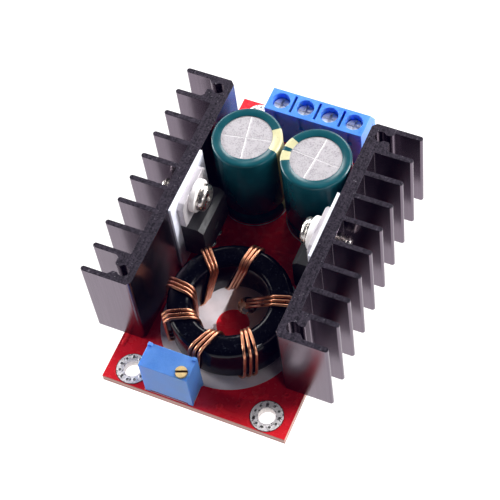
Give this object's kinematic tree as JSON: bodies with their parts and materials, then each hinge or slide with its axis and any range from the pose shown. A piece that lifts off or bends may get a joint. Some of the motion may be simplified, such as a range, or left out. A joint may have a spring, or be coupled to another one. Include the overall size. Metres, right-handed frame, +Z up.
{
  "type": "boost converter module",
  "caption": "Boost converter module: red circuit board with a wound ring inductor, capacitors, a screw terminal block and a trimmer, between black fin heatsinks that cool its power devices.",
  "frame": {"origin": "middle of the bounding box at its foot, level with the heatsink screws' heads", "axes": "+Z up out of the board, +Y along the board towards the terminal block, +X to the right"},
  "size_m": [0.0472, 0.066, 0.0238],
  "materials": {
    "board_mask": "glossy red solder mask on laminate",
    "tinned_pad": "bright tinned copper",
    "black_anodised": "satin black anodised extrusion, sawn ends",
    "plated_screw": "nickel plated steel",
    "white_insulator": "matt white insulating sheet",
    "bush_plastic": "off-white moulded plastic",
    "moulded_case": "matt black moulding compound",
    "device_tab": "dull tinned copper tab",
    "tinned_lead": "bright tinned leads",
    "capacitor_can": "pale bare aluminium",
    "capacitor_sleeve": "glossy dark teal shrink sleeve",
    "seal_rubber": "black rubber",
    "core_coating": "glossy black coated powder core",
    "copper_wire": "enamelled copper wire",
    "terminal_plastic": "satin bright blue moulding",
    "terminal_metal": "bright plated steel",
    "trimmer_plastic": "satin light blue moulding",
    "trimmer_seal": "blue-grey sealing resin",
    "brass_screw": "plain brass",
    "chip_black": "matt black chip cases",
    "chip_tan": "tan ceramic chips",
    "solder": "bright solder"
  },
  "bodies": {
    "module": {"circuit_board": "board_mask", "mounting_hole_plating": "tinned_pad", "left_heatsink": "black_anodised", "right_heatsink": "black_anodised", "heatsink_screws": "plated_screw", "left_insulator_pad": "white_insulator", "right_insulator_pad": "white_insulator", "transistor_case": "moulded_case", "rectifier_case": "moulded_case", "transistor_tab": "device_tab", "rectifier_tab": "device_tab", "transistor_leads": "tinned_lead", "rectifier_leads": "tinned_lead", "left_bush": "bush_plastic", "right_bush": "bush_plastic", "left_lock_washer": "plated_screw", "right_lock_washer": "plated_screw", "left_clamp_screw": "plated_screw", "right_clamp_screw": "plated_screw", "left_capacitor_can": "capacitor_can", "right_capacitor_can": "capacitor_can", "left_capacitor_sleeve": "capacitor_sleeve", "right_capacitor_sleeve": "capacitor_sleeve", "left_capacitor_seal": "seal_rubber", "right_capacitor_seal": "seal_rubber", "left_capacitor_leads": "tinned_lead", "right_capacitor_leads": "tinned_lead", "inductor_core": "core_coating", "inductor_strand_1": "copper_wire", "inductor_strand_2": "copper_wire", "inductor_strand_3": "copper_wire", "terminal_housing": "terminal_plastic", "terminal_pins": "tinned_lead", "trimmer_housing": "trimmer_plastic", "trimmer_base": "trimmer_seal", "trimmer_pins": "tinned_lead", "controller_chip": "chip_black", "controller_leads": "tinned_lead", "sense_resistors": "chip_black", "chip_resistors": "chip_black", "chip_capacitors": "chip_tan", "solder_joints": "solder"},
    "trimmer_screw": {"trimmer_screw": "brass_screw"},
    "terminal_screw_1": {"terminal_screw_1": "terminal_metal"},
    "terminal_screw_2": {"terminal_screw_2": "terminal_metal"},
    "terminal_screw_3": {"terminal_screw_3": "terminal_metal"},
    "terminal_screw_4": {"terminal_screw_4": "terminal_metal"},
    "terminal_cage_1": {"terminal_cage_1": "terminal_metal"},
    "terminal_cage_2": {"terminal_cage_2": "terminal_metal"},
    "terminal_cage_3": {"terminal_cage_3": "terminal_metal"},
    "terminal_cage_4": {"terminal_cage_4": "terminal_metal"}
  },
  "joints": [
    {"name": "trimmer_turn", "type": "hinge", "parent": "module", "child": "trimmer_screw", "pos_m": [-0.0014, -0.03148, 0.0135], "axis": [0, 0, 1], "continuous": true},
    {"name": "pole_1_turn", "type": "hinge", "parent": "module", "child": "terminal_screw_1", "pos_m": [-0.0075, 0.02865, 0.0105], "axis": [0, 0, -1], "range_deg": [0, 1010]},
    {"name": "pole_2_turn", "type": "hinge", "parent": "module", "child": "terminal_screw_2", "pos_m": [-0.0025, 0.02865, 0.0105], "axis": [0, 0, -1], "range_deg": [0, 1010]},
    {"name": "pole_3_turn", "type": "hinge", "parent": "module", "child": "terminal_screw_3", "pos_m": [0.0025, 0.02865, 0.0105], "axis": [0, 0, -1], "range_deg": [0, 1010]},
    {"name": "pole_4_turn", "type": "hinge", "parent": "module", "child": "terminal_screw_4", "pos_m": [0.0075, 0.02865, 0.0105], "axis": [0, 0, -1], "range_deg": [0, 1010]},
    {"name": "pole_1_rise", "type": "slide", "parent": "module", "child": "terminal_cage_1", "axis": [0, 0, 1], "range_m": [0, 0.0014]},
    {"name": "pole_2_rise", "type": "slide", "parent": "module", "child": "terminal_cage_2", "axis": [0, 0, 1], "range_m": [0, 0.0014]},
    {"name": "pole_3_rise", "type": "slide", "parent": "module", "child": "terminal_cage_3", "axis": [0, 0, 1], "range_m": [0, 0.0014]},
    {"name": "pole_4_rise", "type": "slide", "parent": "module", "child": "terminal_cage_4", "axis": [0, 0, 1], "range_m": [0, 0.0014]}
  ],
  "couplings": [
    {"joint": "pole_1_turn", "follows": "pole_1_rise", "rad_per_m": 12566},
    {"joint": "pole_2_turn", "follows": "pole_2_rise", "rad_per_m": 12566},
    {"joint": "pole_3_turn", "follows": "pole_3_rise", "rad_per_m": 12566},
    {"joint": "pole_4_turn", "follows": "pole_4_rise", "rad_per_m": 12566}
  ]
}
